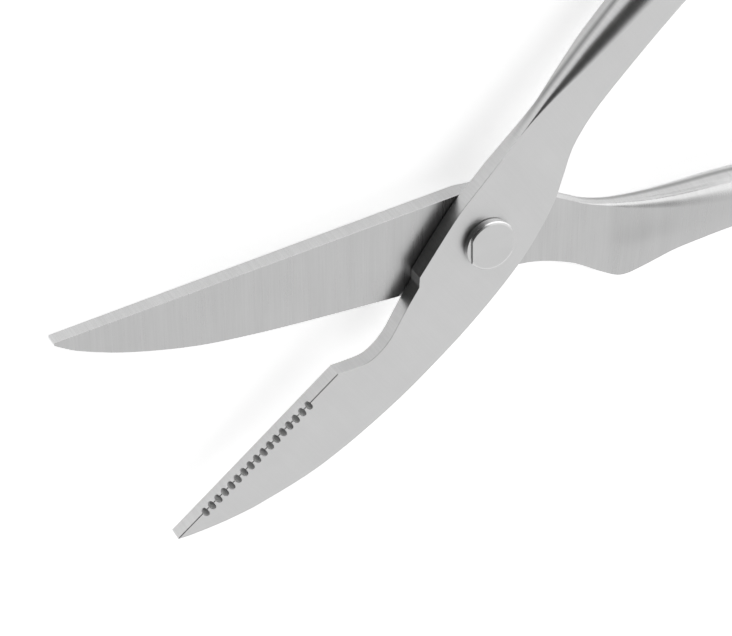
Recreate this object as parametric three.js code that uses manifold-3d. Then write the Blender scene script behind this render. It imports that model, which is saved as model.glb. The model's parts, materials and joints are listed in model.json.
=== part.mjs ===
// Poultry shears: two forged steel arms crossing at one pivot, held open by a torsion spring hidden
// between them, with a lock hook that folds into the thumb handle.
// Millimetres, +Z up. The shears lie on their back, front arm uppermost, with the origin at the middle
// of the pivot nut's outer face and the tips pointing along -X.
// Each arm is drawn in its closed position, with the pivot at (0, 0) and the joint plane between the
// arms at z = 0, and is then turned open about the pivot.
import * as THREE from 'three';
import { mergeVertices } from 'three/addons/utils/BufferGeometryUtils.js';
import Module from 'manifold-3d';

const wasm = await Module();
wasm.setup();

// Driving dimensions
const OPENING = THREE.MathUtils.degToRad(37);  // angle between the arms, from shut to fully open
const PLATE = 4.6;                             // joint plane to the outer face of either arm
const GAP = 0.3;                               // clearance between two parts that meet
const PLAY = 0.15;                             // clearance round a shaft in its hole
const NUT_FACE = -7.2;                         // outer face of the pivot nut, where the shears rest
const NECK_X = 18;                             // where an arm's plate becomes its handle
const ROUND = 32;                              // facets on a round part
const FINE_ROUND = 48;                         // facets on the larger round parts of the pivot
const SMALL_ROUND = 12;                        // facets on a small hole
const BREAK = 1;                               // how far a cut runs out past the surface it opens

// Pivot
const HEAD_RADIUS = 6.5;
const HEAD_TOP = 6.8;
const HEAD_STEP = 0.5;                         // depth of the two wrench flats cut in the head
const HEAD_FLATS = 10.6;                       // distance across those flats
const HEAD_TURN = THREE.MathUtils.degToRad(-17);
const SCREW_RADIUS = 3.0;
const BARREL_RADIUS = 4.6;                     // the nut's barrel is the journal both arms turn on
const NUT_RADIUS = 6.6;
const NUT_THICKNESS = 1.6;
const SPANNER_HOLE = { radius: 0.8, offset: 4.2, depth: 1.0 };

// Spring chamber, half in each arm
const CHAMBER = { radius: 8.7, depth: 2.9 };
const SPRING = { wire: 0.6, radius: 6.8, turns: 3, height: 4.0, tang: 1.5 };
const SPRING_TANG_ANGLE = THREE.MathUtils.degToRad(200);
const SPRING_WASHER = { width: 1.6, thickness: 0.4 };

// Opening stop: a pin in the rear arm that runs in a curved slot in the front arm
const STOP = { pin: 1.2, radius: 10.9, depth: 2.6, angle: THREE.MathUtils.degToRad(62) };

// Lock hook, folded into the thumb handle, and the catch pin it swings over
const HOOK_PIVOT = [126, 17];
const CATCH = [126, -8.5];
const HOOK = {
  half: 1.6,                                   // half its thickness
  bar: 3.0,                                    // half the width of its bar
  eye: 4.0,                                    // radius of the end that turns on the hook pin
  shoulder: 8.0,                               // from the eye's centre to where the bar starts
  nose: 3.6,                                   // steel beyond the catch pin's centre
  mouth: 1.8,                                  // half the width of the slot for the catch pin
  corner: 0.8,                                 // cut off the corner of the nose
};
const HOOK_REACH = HOOK_PIVOT[1] - CATCH[1];   // from the hook pin to the catch pin when shut
const HOOK_ROOM = 1.0;                         // room round the folded hook in its recess
const PIN_RADIUS = 1.4;
const WASHER = { radius: 3.4, thickness: 0.5 };
const HANDLE_END_DEPTH = 6.2;                  // half the handle's thickness where the lock pins cross it

const steel = new THREE.MeshStandardMaterial({ color: 0xc6c8c9, roughness: 0.36, metalness: 1 });
const blade = new THREE.MeshStandardMaterial({ color: 0xbdc0c2, roughness: 0.3, metalness: 1 });
const bright = new THREE.MeshStandardMaterial({ color: 0xd2d4d6, roughness: 0.22, metalness: 1 });
const springSteel = new THREE.MeshStandardMaterial({ color: 0x8f9296, roughness: 0.4, metalness: 1 });
const bronze = new THREE.MeshStandardMaterial({ color: 0xb08a55, roughness: 0.45, metalness: 1 });

// ---- Solids ----

function toSolid(geometry) {
  const bare = geometry.index ? geometry.clone() : geometry;
  bare.deleteAttribute('normal');
  bare.deleteAttribute('uv');
  const merged = mergeVertices(bare, 1e-5);
  return new wasm.Manifold(new wasm.Mesh({
    numProp: 3,
    vertProperties: new Float32Array(merged.attributes.position.array),
    triVerts: new Uint32Array(merged.index.array),
  }));
}

function toGeometry(solid) {
  const { vertProperties, triVerts } = solid.getMesh();
  const geometry = new THREE.BufferGeometry();
  geometry.setAttribute('position', new THREE.BufferAttribute(vertProperties, 3));
  geometry.setIndex(new THREE.BufferAttribute(triVerts, 1));
  geometry.computeVertexNormals();
  return geometry;
}

function cutAll(solid, cutters) {
  return cutters.reduce((left, cutter) => left.subtract(cutter), solid);
}

// A flat outline raised from one height to another.
function slab(shape, low, high) {
  const geometry = new THREE.ExtrudeGeometry(shape, {
    depth: high - low, bevelEnabled: false, curveSegments: 10,
  });
  return toSolid(geometry.translate(0, 0, low));
}

// A round bar standing along Z.
function bar(radius, low, high, [x, y] = [0, 0], sides = ROUND) {
  const geometry = new THREE.CylinderGeometry(radius, radius, high - low, sides);
  return toSolid(geometry.rotateX(Math.PI / 2).translate(x, y, (low + high) / 2));
}

function box([x0, x1], [y0, y1], [z0, z1]) {
  const geometry = new THREE.BoxGeometry(x1 - x0, y1 - y0, z1 - z0);
  return toSolid(geometry.translate((x0 + x1) / 2, (y0 + y1) / 2, (z0 + z1) / 2));
}

// A skin over rings of points, each ring convex and seen anticlockwise from the far end, shut at both ends.
function skin(rings) {
  const sides = rings[0].length;
  const index = [];
  for (let r = 0; r + 1 < rings.length; r += 1) {
    for (let s = 0; s < sides; s += 1) {
      const a = r * sides + s;
      const b = r * sides + (s + 1) % sides;
      index.push(a, b, b + sides, a, b + sides, a + sides);
    }
  }
  const last = (rings.length - 1) * sides;
  for (let s = 1; s + 1 < sides; s += 1) {
    index.push(0, s + 1, s);
    index.push(last, last + s, last + s + 1);
  }
  const geometry = new THREE.BufferGeometry().setFromPoints(rings.flat());
  geometry.setIndex(index);
  return geometry;
}

// ---- Handles ----

// One cross-section of a handle at x, a rectangle with rounded corners.
const CORNER_STEPS = 5;
function handleRing([x, yLow, yHigh, zLow, zHigh, corner]) {
  const corners = [[yHigh, zHigh, 0], [yLow, zHigh, 1], [yLow, zLow, 2], [yHigh, zLow, 3]];
  return corners.flatMap(([y, z, quarter]) => {
    const centreY = y + (y === yHigh ? -corner : corner);
    const centreZ = z + (z === zHigh ? -corner : corner);
    return Array.from({ length: CORNER_STEPS + 1 }, (_, step) => {
      const angle = (quarter + step / CORNER_STEPS) * Math.PI / 2;
      return new THREE.Vector3(x, centreY + corner * Math.cos(angle), centreZ + corner * Math.sin(angle));
    });
  });
}

// Cross-sections between those that are given, eased from one to the next.
const STEPS_BETWEEN = 3;
function easedRows(rows) {
  const eased = [];
  for (let i = 0; i + 1 < rows.length; i += 1) {
    const [before, from, to, after] = [rows[Math.max(i - 1, 0)], rows[i], rows[i + 1],
      rows[Math.min(i + 2, rows.length - 1)]];
    for (let step = 0; step < STEPS_BETWEEN; step += 1) {
      const t = step / STEPS_BETWEEN;
      const at = t * (to[0] - from[0]) + from[0];
      eased.push(from.map((value, column) => {
        if (column === 0) return at;
        const inSlope = (to[column] - before[column]) / (to[0] - before[0]);
        const outSlope = (after[column] - value) / (after[0] - from[0]);
        return hermite(t, value, to[column], inSlope, outSlope, to[0] - from[0]);
      }));
    }
  }
  eased.push(rows[rows.length - 1]);
  return eased;
}

function hermite(t, from, to, fromSlope, toSlope, span) {
  const t2 = t * t;
  const t3 = t2 * t;
  return (2 * t3 - 3 * t2 + 1) * from + (t3 - 2 * t2 + t) * span * fromSlope
    + (3 * t2 - 2 * t3) * to + (t3 - t2) * span * toSlope;
}

function handle(rows) {
  return toSolid(skin(easedRows(rows).map(handleRing)));
}

// Cross-sections of the thumb handle: x, lower and upper edge, underside, top, corner radius.
const THUMB_ROWS = [
  [NECK_X, -5.8, 15.9, GAP / 2, PLATE, 0.4],
  [24, -1.7, 17.3, GAP / 2, PLATE, 0.5],
  [30, 2.5, 18.1, GAP / 2, 4.7, 0.8],
  [38, 5.5, 19.3, -1.5, 4.9, 1.5],
  [50, 7.9, 21.4, -4.0, 5.3, 2.6],
  [70, 10.5, 23.8, -6.2, 6.2, 4.0],
  [92, 12.2, 25.4, -7.0, 7.0, 4.8],
  [112, 12.2, 25.2, -6.9, 6.9, 4.8],
  [126, 10.6, 23.6, -6.5, 6.5, 4.4],
  [133, 10.6, 22.2, -6.0, 6.0, 4.2],
  [137, 12.2, 20.6, -4.6, 4.6, 3.6],
  [138.5, 14.6, 18.6, -2.4, 2.4, 1.9],
];

// The same for the finger handle, with its guard at x = 42 and its flared heel.
const FINGER_ROWS = [
  [NECK_X, -13.1, 5.8, -PLATE, -GAP / 2, 0.4],
  [26, -15.8, 2.2, -PLATE, -GAP / 2, 0.5],
  [30, -17.9, 0.4, -4.7, -GAP / 2, 0.7],
  [36, -21.7, -1.1, -4.9, 0.3, 1.1],
  [42, -23.9, -1.8, -5.1, 1.5, 1.6],
  [48, -21.9, -2.2, -5.4, 2.7, 2.2],
  [56, -18.4, -2.3, -5.8, 4.0, 3.0],
  [72, -15.4, -1.8, -6.4, 5.8, 4.0],
  [92, -15.6, -2.4, -7.0, 7.0, 4.8],
  [112, -17.2, -4.6, -6.9, 6.9, 4.8],
  [126, -19.6, -5.2, -6.5, 6.5, 4.6],
  [134, -22.4, -6.6, -6.1, 6.1, 4.4],
  [139, -22.2, -9.6, -4.8, 4.8, 3.8],
  [141, -19.6, -13.6, -2.4, 2.4, 1.9],
];

// ---- Blades ----

const points = (pairs) => pairs.map(([x, y]) => new THREE.Vector2(x, y));

// The serrated edge is straight, from the tip to the corner of the bone notch.
const SERRATED_TIP = [-102.7, 0.7];
const NOTCH_CORNER = [-47.5, 3.1];

function frontPlate() {
  const shape = new THREE.Shape();
  shape.moveTo(NECK_X, THUMB_ROWS[0][2]);
  shape.lineTo(8, 14.0);
  shape.lineTo(0.5, 12.9);
  shape.lineTo(-17.5, 7.0);
  shape.lineTo(-19.2, 4.9);
  shape.splineThru(points([[-25.2, 2.6], [-32.6, -0.5], [-36.6, -1.3], [-40.5, -1.0], NOTCH_CORNER]));
  shape.lineTo(...SERRATED_TIP);
  shape.splineThru(points([
    [-100.1, -1.2], [-83.6, -9.5], [-66.7, -14.4], [-45, -16.5], [-23.8, -15.9], [-6.9, -13.9],
    [6, -10.9], [NECK_X, THUMB_ROWS[0][1]],
  ]));
  return slab(shape, GAP / 2, PLATE);
}

const CUTTING_EDGE = new THREE.SplineCurve(points([
  [-107.8, -0.9], [-102.6, -3.5], [-91, -7.4], [-74.1, -10.7], [-58.5, -11.8], [-43, -12.1],
]));
const EDGE_STEPS = 20;
const BEVEL = { width: 6.5, land: 0.8 };       // ground on the outer face, leaving a land at the edge
const BEVEL_END = [-24, -12.1];                // where the bevel stops, short of the pivot
const PAST_THE_TIP = [-109.5, 0.2];

function rearPlate() {
  const shape = new THREE.Shape();
  shape.moveTo(NECK_X, FINGER_ROWS[0][1]);
  shape.lineTo(NECK_X, FINGER_ROWS[0][2]);
  shape.splineThru(points([[11, 9.4], [3, 11.6], [-5, 12.1]]));
  shape.lineTo(-107.6, 0.1);
  CUTTING_EDGE.getPoints(EDGE_STEPS).forEach(({ x, y }) => shape.lineTo(x, y));
  shape.lineTo(8, -12.1);
  return slab(shape, -PLATE, -GAP / 2);
}

// The wedge ground away behind the cutting edge, from the tip to the pivot.
function bevelCutter() {
  const edge = [...points([PAST_THE_TIP]), ...CUTTING_EDGE.getPoints(EDGE_STEPS), ...points([BEVEL_END])];
  const slope = (PLATE - BEVEL.land) / BEVEL.width;
  const rings = edge.map((point, i) => {
    const along = edge[Math.min(i + 1, edge.length - 1)].clone().sub(edge[Math.max(i - 1, 0)]).normalize();
    const inward = new THREE.Vector2(-along.y, along.x);
    const near = point.clone().addScaledVector(inward, BEVEL.width);
    const far = point.clone().addScaledVector(inward, -BREAK);
    return [
      new THREE.Vector3(near.x, near.y, -PLATE),
      new THREE.Vector3(far.x, far.y, -BEVEL.land + BREAK * slope),
      new THREE.Vector3(far.x, far.y, -PLATE - BREAK),
      new THREE.Vector3(near.x, near.y, -PLATE - BREAK),
    ];
  });
  return toSolid(skin(rings));
}

// Small oval scallops, cut at 45 degrees into the front corner of the serrated edge.
const SCALLOPS = {
  count: 17, first: -93.4, last: -57.8, along: 0.78, across: 1.08, depth: 0.75, cutter: 3,
};
function scallopCutters() {
  const slope = (NOTCH_CORNER[1] - SERRATED_TIP[1]) / (NOTCH_CORNER[0] - SERRATED_TIP[0]);
  const reach = (SCALLOPS.cutter / 2 - SCALLOPS.depth) * Math.SQRT1_2;
  return Array.from({ length: SCALLOPS.count }, (_, i) => {
    const x = THREE.MathUtils.lerp(SCALLOPS.first, SCALLOPS.last, i / (SCALLOPS.count - 1));
    const y = SERRATED_TIP[1] + slope * (x - SERRATED_TIP[0]);
    const cutter = new THREE.CylinderGeometry(1, 1, SCALLOPS.cutter, SMALL_ROUND);
    cutter.scale(SCALLOPS.along, 1, SCALLOPS.across).rotateX(Math.PI / 4);
    return toSolid(cutter.translate(x, y + reach, PLATE + reach));
  });
}

// ---- Arms ----

function curvedSlot(radius, halfWidth, from, to, low, high) {
  const shape = new THREE.Shape();
  shape.absarc(0, 0, radius + halfWidth, from, to, false);
  shape.absarc(radius * Math.cos(to), radius * Math.sin(to), halfWidth, to, to + Math.PI, false);
  shape.absarc(0, 0, radius - halfWidth, to, from, true);
  shape.absarc(radius * Math.cos(from), radius * Math.sin(from), halfWidth, from + Math.PI, from, false);
  return slab(shape, low, high);
}

function tangHole(angle, low, high) {
  const place = [SPRING.radius * Math.cos(angle), SPRING.radius * Math.sin(angle)];
  return bar(SPRING.wire + GAP, low, high, place, SMALL_ROUND);
}

// The recess that the lock hook folds into, open along the handle's inner edge.
function hookRecess() {
  const half = HOOK.half + WASHER.thickness + 2 * GAP;
  const round = HOOK.eye + HOOK_ROOM;
  const reach = HOOK_REACH + HOOK.nose + HOOK_ROOM;
  const [x, y] = HOOK_PIVOT;
  const shape = new THREE.Shape();
  shape.moveTo(x + round, 0);
  shape.lineTo(x + round, y);
  shape.absarc(x, y, round, 0, Math.PI / 2, false);
  shape.lineTo(x - reach, y + round);
  shape.lineTo(x - reach, 0);
  return slab(shape, -half, half);
}

// The pocket in the finger handle that the hook's nose swings into.
function catchPocket() {
  const half = HOOK.half + GAP;
  const reach = HOOK_REACH + HOOK.nose + 2 * GAP;
  const [x, y] = HOOK_PIVOT;
  const far = x + HOOK.eye + HOOK_ROOM;
  const entry = Math.PI + Math.asin(y / reach);  // where the nose's path crosses y = 0
  const shape = new THREE.Shape();
  shape.moveTo(far, y - reach);
  shape.lineTo(far, 0);
  shape.absarc(x, y, reach, entry, Math.PI * 1.5, false);
  return slab(shape, -half, half);
}

function frontArm() {
  const whole = frontPlate().add(handle(THUMB_ROWS));
  return cutAll(whole, [
    ...scallopCutters(),
    bar(BARREL_RADIUS + PLAY, -BREAK, PLATE + BREAK),
    bar(CHAMBER.radius, -BREAK, CHAMBER.depth),
    tangHole(SPRING_TANG_ANGLE, 0, CHAMBER.depth + SPRING.tang),
    curvedSlot(STOP.radius, STOP.pin + GAP, STOP.angle - OPENING, STOP.angle, -BREAK, STOP.depth + GAP),
    hookRecess(),
    bar(PIN_RADIUS + PLAY, -HANDLE_END_DEPTH - BREAK, HANDLE_END_DEPTH + BREAK, HOOK_PIVOT),
  ]);
}

function rearArm() {
  const whole = rearPlate().add(handle(FINGER_ROWS));
  return cutAll(whole, [
    bevelCutter(),
    bar(BARREL_RADIUS + PLAY, -PLATE - BREAK, BREAK),
    bar(CHAMBER.radius, -CHAMBER.depth, BREAK),
    tangHole(SPRING_TANG_ANGLE - Math.PI, -CHAMBER.depth - SPRING.tang, 0),
    bar(STOP.pin + PLAY, -STOP.depth - GAP, BREAK, stopPlace()),
    catchPocket(),
    bar(PIN_RADIUS + PLAY, -HANDLE_END_DEPTH - BREAK, HANDLE_END_DEPTH + BREAK, CATCH),
  ]);
}

// The stop pin's place in the rear arm's own closed frame.
function stopPlace() {
  return [STOP.radius * Math.cos(STOP.angle), STOP.radius * Math.sin(STOP.angle)];
}

// ---- Pivot ----

function pivotScrew() {
  const half = HEAD_FLATS / 2;
  const past = HEAD_RADIUS + BREAK;
  const step = [HEAD_TOP - HEAD_STEP, HEAD_TOP + BREAK];
  const head = cutAll(bar(HEAD_RADIUS, PLATE + PLAY, HEAD_TOP, [0, 0], FINE_ROUND), [
    box([half, past], [-past, past], step),
    box([-past, -half], [-past, past], step),
  ]);
  return head.add(bar(SCREW_RADIUS, NUT_FACE + NUT_THICKNESS, PLATE + BREAK));
}

function pivotNut() {
  const barrelTop = PLATE - GAP;
  const flangeTop = NUT_FACE + NUT_THICKNESS;
  const flange = bar(NUT_RADIUS, NUT_FACE, flangeTop, [0, 0], FINE_ROUND);
  const holeTop = NUT_FACE + SPANNER_HOLE.depth;
  const spannerHole = (x) => bar(SPANNER_HOLE.radius, NUT_FACE - BREAK, holeTop, [x, 0], SMALL_ROUND);
  return cutAll(flange.add(bar(BARREL_RADIUS, NUT_FACE, barrelTop)), [
    bar(SCREW_RADIUS + PLAY, flangeTop - GAP, barrelTop + BREAK),
    spannerHole(-SPANNER_HOLE.offset),
    spannerHole(SPANNER_HOLE.offset),
  ]);
}

// A coned spring washer between the nut's flange and the rear arm.
function springWasher() {
  const { width, thickness } = SPRING_WASHER;
  const inner = BARREL_RADIUS + PLAY;
  const outer = inner + width;
  const low = NUT_FACE + NUT_THICKNESS + PLAY;
  const high = -PLATE - PLAY;
  const start = [inner, high - thickness];
  const profile = points([start, [outer, low], [outer, low + thickness], [inner, high], start]);
  return new THREE.LatheGeometry(profile, FINE_ROUND).rotateX(Math.PI / 2);
}

// The spring's wire: a tang standing in the front arm, the coils, and a tang standing in the rear arm.
const TANG_SHARE = 0.06;                       // of the path taken by each tang
class SpringPath extends THREE.Curve {
  getPoint(t, target = new THREE.Vector3()) {
    const coil = THREE.MathUtils.clamp((t - TANG_SHARE) / (1 - 2 * TANG_SHARE), 0, 1);
    const tang = (Math.max(TANG_SHARE - t, 0) - Math.max(t - 1 + TANG_SHARE, 0)) / TANG_SHARE;
    const sweep = OPENING + Math.PI;
    const angle = SPRING_TANG_ANGLE + coil * (2 * Math.PI * SPRING.turns - sweep);
    const height = SPRING.height * (0.5 - coil) + SPRING.tang * tang;
    return target.set(SPRING.radius * Math.cos(angle), SPRING.radius * Math.sin(angle), height);
  }
}

function torsionSpring() {
  const section = new THREE.Shape();
  section.absarc(0, 0, SPRING.wire, 0, 2 * Math.PI, false);
  return new THREE.ExtrudeGeometry(section, {
    steps: 72, curveSegments: 4, bevelEnabled: false, extrudePath: new SpringPath(),
  });
}

// ---- Lock ----

// Drawn folded, with its pivot at (0, 0) and its nose along -X. The mouth opens towards the other handle.
function lockHook() {
  const tip = HOOK_REACH + HOOK.nose;
  const shape = new THREE.Shape();
  shape.absarc(0, 0, HOOK.eye, -Math.PI / 2, Math.PI / 2, false);
  shape.lineTo(-HOOK_REACH, HOOK.bar);
  shape.quadraticCurveTo(-tip, HOOK.bar, -tip, -HOOK.bar + HOOK.corner);
  shape.lineTo(-tip + HOOK.corner, -HOOK.bar);
  shape.lineTo(-HOOK_REACH - HOOK.mouth, -HOOK.bar);
  shape.absarc(-HOOK_REACH, 0, HOOK.mouth, Math.PI, 0, true);
  shape.lineTo(-HOOK_REACH + HOOK.mouth, -HOOK.bar);
  shape.lineTo(-HOOK.shoulder, -HOOK.bar);
  const hole = new THREE.Path();
  hole.absarc(0, 0, PIN_RADIUS + PLAY, 0, 2 * Math.PI, true);
  shape.holes.push(hole);
  return slab(shape, -HOOK.half, HOOK.half);
}

function hookWasher() {
  const ring = new THREE.Shape();
  ring.absarc(0, 0, WASHER.radius, 0, 2 * Math.PI, false);
  const hole = new THREE.Path();
  hole.absarc(0, 0, PIN_RADIUS + PLAY, 0, 2 * Math.PI, true);
  ring.holes.push(hole);
  return slab(ring, -WASHER.thickness / 2, WASHER.thickness / 2);
}

// ---- Assembly ----

function mesh(name, shape, material, [x, y, z] = [0, 0, 0]) {
  const geometry = shape.isBufferGeometry ? shape : toGeometry(shape);
  const made = new THREE.Mesh(geometry, material);
  made.name = name;
  made.position.set(x, y, z);
  return made;
}

const washerHeight = HOOK.half + GAP + WASHER.thickness / 2;

const frontHalf = new THREE.Group();
frontHalf.rotation.z = OPENING / 2;
frontHalf.add(mesh('front_arm', frontArm(), steel));
frontHalf.add(mesh('lock_hook', lockHook(), bright, [...HOOK_PIVOT, 0]));
frontHalf.add(mesh('hook_washer_front', hookWasher(), bronze, [...HOOK_PIVOT, washerHeight]));
frontHalf.add(mesh('hook_washer_back', hookWasher(), bronze, [...HOOK_PIVOT, -washerHeight]));
frontHalf.add(mesh('hook_pin', bar(PIN_RADIUS, -HANDLE_END_DEPTH, HANDLE_END_DEPTH), bright,
  [...HOOK_PIVOT, 0]));

const rearHalf = new THREE.Group();
rearHalf.rotation.z = -OPENING / 2;
rearHalf.add(mesh('rear_arm', rearArm(), blade));
rearHalf.add(mesh('stop_pin', bar(STOP.pin, -STOP.depth, STOP.depth), bright, [...stopPlace(), 0]));
rearHalf.add(mesh('catch_pin', bar(PIN_RADIUS, -HANDLE_END_DEPTH, HANDLE_END_DEPTH), bright, [...CATCH, 0]));

const pivot = new THREE.Group();
pivot.rotation.z = HEAD_TURN;
pivot.add(mesh('pivot_screw', pivotScrew(), bright));
pivot.add(mesh('pivot_nut', pivotNut(), bright));
pivot.add(mesh('spring_washer', springWasher(), springSteel));

const spring = mesh('torsion_spring', torsionSpring(), springSteel);
spring.rotation.z = OPENING / 2;

const shears = new THREE.Group();
shears.position.z = -NUT_FACE;
shears.add(frontHalf, rearHalf, pivot, spring);

export default shears;
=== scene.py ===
"""Poultry shears lying open on a pale table, seen from above their left side.

Each arm is drawn shut, in millimetres, with the pivot axis at x = y = 0 and the joint plane between
the two arms at z = 0, and is then turned open and lifted to where the frame has it.
"""
import json
import math

import bmesh
import bpy
from mathutils import Matrix, Vector


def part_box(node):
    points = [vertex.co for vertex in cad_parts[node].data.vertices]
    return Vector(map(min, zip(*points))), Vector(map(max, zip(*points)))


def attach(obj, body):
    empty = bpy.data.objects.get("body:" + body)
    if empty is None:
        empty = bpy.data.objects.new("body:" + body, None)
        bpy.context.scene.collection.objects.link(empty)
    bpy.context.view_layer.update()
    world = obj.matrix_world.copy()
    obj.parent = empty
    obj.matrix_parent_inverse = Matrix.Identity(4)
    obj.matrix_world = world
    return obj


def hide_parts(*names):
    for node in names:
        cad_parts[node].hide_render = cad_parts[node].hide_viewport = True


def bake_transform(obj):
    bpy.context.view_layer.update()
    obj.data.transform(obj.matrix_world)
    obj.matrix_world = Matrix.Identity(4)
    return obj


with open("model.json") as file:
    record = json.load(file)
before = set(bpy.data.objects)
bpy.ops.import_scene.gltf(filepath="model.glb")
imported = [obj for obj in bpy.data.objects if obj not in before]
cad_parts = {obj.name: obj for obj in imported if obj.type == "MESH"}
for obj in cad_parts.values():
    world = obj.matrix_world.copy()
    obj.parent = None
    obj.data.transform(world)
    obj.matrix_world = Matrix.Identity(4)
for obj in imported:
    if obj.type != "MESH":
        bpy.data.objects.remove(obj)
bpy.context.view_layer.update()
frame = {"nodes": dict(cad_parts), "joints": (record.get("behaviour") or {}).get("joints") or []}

MM = 0.001

# Sizes shared by several pieces, in millimetres.
PLATE = 4.6                    # joint plane to the outer face of either arm
GAP = 0.3                      # clearance between parts that meet
PLAY = 0.15                    # clearance round a shaft
BEYOND = 12                    # how far a cutter reaches to run right through
THROUGH = 1                    # how far a shallower cut runs out past the surface it opens
HEAD_TOP = 6.8                 # joint plane to the top of the screw head
HEAD_RADIUS = 6.5
HEAD_FLATS = 10.6              # across the two wrench flats
HEAD_STEP = 0.5                # how deep the flats are cut
PIVOT_TURN = math.radians(-17)
SCREW_RADIUS = 3.0
BARREL_RADIUS = 4.6
NUT_RADIUS = 6.6
NUT_THICKNESS = 1.6
SPANNER_HOLE = 0.8
SPANNER_OFFSET = 4.2
SPANNER_DEPTH = 1
CHAMBER_RADIUS = 8.7
CHAMBER_DEPTH = 2.9
SPRING_RADIUS = 6.8
SPRING_WIRE = 0.6
SPRING_HEIGHT = 4.0            # between the middles of the first coil and the last
SPRING_TURNS = 3
SPRING_TANG = 1.5
TANG_ANGLE = math.radians(200)
STOP_RADIUS = 10.9
STOP_ANGLE = math.radians(62)
STOP_PIN = 1.2
STOP_DEPTH = 2.6
PIN_RADIUS = 1.4
PIN_HALF = 6.2
HOOK_PIVOT = (126.0, 17.0)     # in the shut thumb handle
CATCH = (126.0, -8.5)          # in the shut finger handle
HOOK_HALF = 1.6
HOOK_EYE = 4.0
HOOK_BAR = 3.0
HOOK_NOSE = 3.6
HOOK_CORNER = 0.8              # cut off the corner of the nose
HOOK_MOUTH = 1.8
HOOK_SHOULDER = 8.0            # from the eye's centre to where the bar starts
HOOK_REACH = HOOK_PIVOT[1] - CATCH[1]
HOOK_ROOM = 1.0                # round the folded hook in its recess
WASHER_RADIUS = 3.4
WASHER_THICKNESS = 0.5

pivot_joint = next(joint for joint in frame["joints"] if joint["name"] == "pivot")
OPENING = math.radians(pivot_joint["range_deg"][1])
JOINT_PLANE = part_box("pivot_screw")[1].z / MM - HEAD_TOP
NUT_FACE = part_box("pivot_nut")[0].z / MM - JOINT_PLANE

LIFT = Matrix.Translation((0, 0, JOINT_PLANE))
FRONT = LIFT @ Matrix.Rotation(OPENING / 2, 4, "Z")
REAR = LIFT @ Matrix.Rotation(-OPENING / 2, 4, "Z")
PIVOT = LIFT @ Matrix.Rotation(PIVOT_TURN, 4, "Z")


# ---- Curves ----

class Track:
    """A smooth value along x. Stretches are joined at corners, where the slope may jump."""

    def __init__(self, *stretches):
        self.stretches = stretches

    def __call__(self, x):
        for stretch in self.stretches:
            if x <= stretch[-1][0]:
                return eased(stretch, max(x, stretch[0][0]))
        return self.stretches[-1][-1][1]

    def corners(self):
        return [stretch[-1][0] for stretch in self.stretches[:-1]]


def eased(knots, x):
    """A cubic through the knots, straight where there are only two."""
    for i in range(len(knots) - 1):
        if x <= knots[i + 1][0]:
            break
    x0, y0 = knots[i]
    x1, y1 = knots[i + 1]
    before = knots[max(i - 1, 0)]
    after = knots[min(i + 2, len(knots) - 1)]
    span = x1 - x0
    slope0 = (y1 - before[1]) / (x1 - before[0])
    slope1 = (after[1] - y0) / (after[0] - x0)
    t = (x - x0) / span
    return ((2 * t**3 - 3 * t**2 + 1) * y0 + (t**3 - 2 * t**2 + t) * span * slope0
            + (3 * t**2 - 2 * t**3) * y1 + (t**3 - t**2) * span * slope1)


def ramp(x, start, end):
    """Eases from 0 at start to 1 at end."""
    t = min(max((x - start) / (end - start), 0), 1)
    return t * t * (3 - 2 * t)


def arc(centre, radius, start, end, steps=12):
    """Points on an arc, with the angles in degrees."""
    angles = [math.radians(start + (end - start) * i / steps) for i in range(steps + 1)]
    return [(centre[0] + radius * math.cos(a), centre[1] + radius * math.sin(a)) for a in angles]


# ---- Mesh building ----

def new_object(name, bm, place):
    bmesh.ops.recalc_face_normals(bm, faces=bm.faces)
    mesh = bpy.data.meshes.new(name)
    bm.to_mesh(mesh)
    bm.free()
    mesh.transform(Matrix.Scale(MM, 4) @ place)
    piece = bpy.data.objects.new(name, mesh)
    bpy.context.scene.collection.objects.link(piece)
    return piece


def skin(name, rings, place):
    """A closed skin over rings of points, with a flat cap at each end."""
    bm = bmesh.new()
    rows = [[bm.verts.new(point) for point in ring] for ring in rings]
    count = len(rings[0])
    for a, b in zip(rows, rows[1:]):
        for s in range(count):
            e = (s + 1) % count
            bm.faces.new((a[s], a[e], b[e], b[s]))
    bm.faces.new(rows[0])
    bm.faces.new(rows[-1])
    return new_object(name, bm, place)


def prism(name, outline, low, high, place):
    return skin(name, [[(x, y, z) for x, y in outline] for z in (low, high)], place)


def turned(name, profile, place, sides=96):
    """A solid of revolution about Z. The profile of (radius, height) closes on itself or on the axis."""
    bm = bmesh.new()
    rows = []
    for radius, height in profile:
        if radius == 0:
            rows.append([bm.verts.new((0, 0, height))])
        else:
            turns = [2 * math.pi * s / sides for s in range(sides)]
            rows.append([bm.verts.new((radius * math.cos(a), radius * math.sin(a), height)) for a in turns])
    pairs = list(zip(rows, rows[1:]))
    if len(rows[0]) > 1 and len(rows[-1]) > 1:
        pairs.append((rows[-1], rows[0]))
    for a, b in pairs:
        for s in range(sides):
            e = (s + 1) % sides
            corners = [a[s % len(a)], a[e % len(a)], b[e % len(b)], b[s % len(b)]]
            unique = list(dict.fromkeys(corners))
            if len(unique) > 2:
                bm.faces.new(unique)
    return new_object(name, bm, place)


def upright(radius, low, high, place, centre=(0, 0), sides=48):
    """A plain round cutter standing along Z."""
    profile = [(0, low), (radius, low), (radius, high), (0, high)]
    return turned("cutter", profile, place @ Matrix.Translation((*centre, 0)), sides)


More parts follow.
